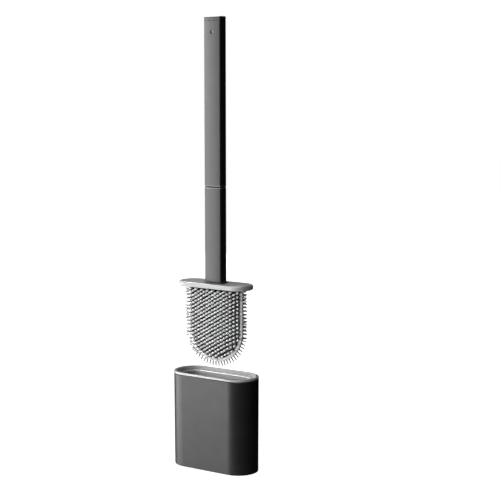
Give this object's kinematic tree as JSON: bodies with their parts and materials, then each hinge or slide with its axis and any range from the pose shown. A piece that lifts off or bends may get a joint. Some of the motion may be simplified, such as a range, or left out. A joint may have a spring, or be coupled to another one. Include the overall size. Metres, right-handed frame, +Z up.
{
  "type": "toilet brush with holder",
  "caption": "Flat soft-bristled toilet brush with a rectangular bar handle, lifted above a slim free-standing holder with half-round ends and a removable liner.",
  "frame": {"origin": "on the floor, under the middle of the holder", "axes": "+Z up along the brush handle, +X along the holder's long side, -Y towards the broad front face"},
  "size_m": [0.1186, 0.051, 0.565],
  "materials": {
    "charcoal_shell": "satin",
    "charcoal_bar": "satin",
    "charcoal_cap": "satin",
    "dark_plastic": "matte",
    "liner_white": "gloss",
    "collar_grey": "matte",
    "soft_bristle": "satin",
    "core_plastic": "matte",
    "black_rubber": "matte"
  },
  "bodies": {
    "holder": {"outer_shell": "charcoal_shell", "base_plate": "dark_plastic", "anti_slip_foot_1": "black_rubber", "anti_slip_foot_2": "black_rubber", "anti_slip_foot_3": "black_rubber", "anti_slip_foot_4": "black_rubber"},
    "liner": {"inner_liner": "liner_white", "drip_tray": "liner_white"},
    "brush": {"collar_lid": "collar_grey", "head_core": "core_plastic", "brush_head": "soft_bristle", "handle_foot_ring": "black_rubber", "tang_socket": "dark_plastic", "lower_handle": "charcoal_bar", "handle_joiner": "dark_plastic", "seam_gasket": "black_rubber"},
    "upper_grip": {"upper_handle": "charcoal_bar", "handle_top_cap": "charcoal_cap"}
  },
  "joints": [
    {"name": "liner_lift", "type": "slide", "parent": "holder", "child": "liner", "axis": [0, 0, 1], "range_m": [0, 0.125]},
    {"name": "brush_lift", "type": "slide", "parent": "liner", "child": "brush", "axis": [0, 0, 1], "range_m": [-0.1136, 0]},
    {"name": "handle_pull", "type": "slide", "parent": "brush", "child": "upper_grip", "axis": [0, 0, 1], "range_m": [0, 0.036]}
  ]
}
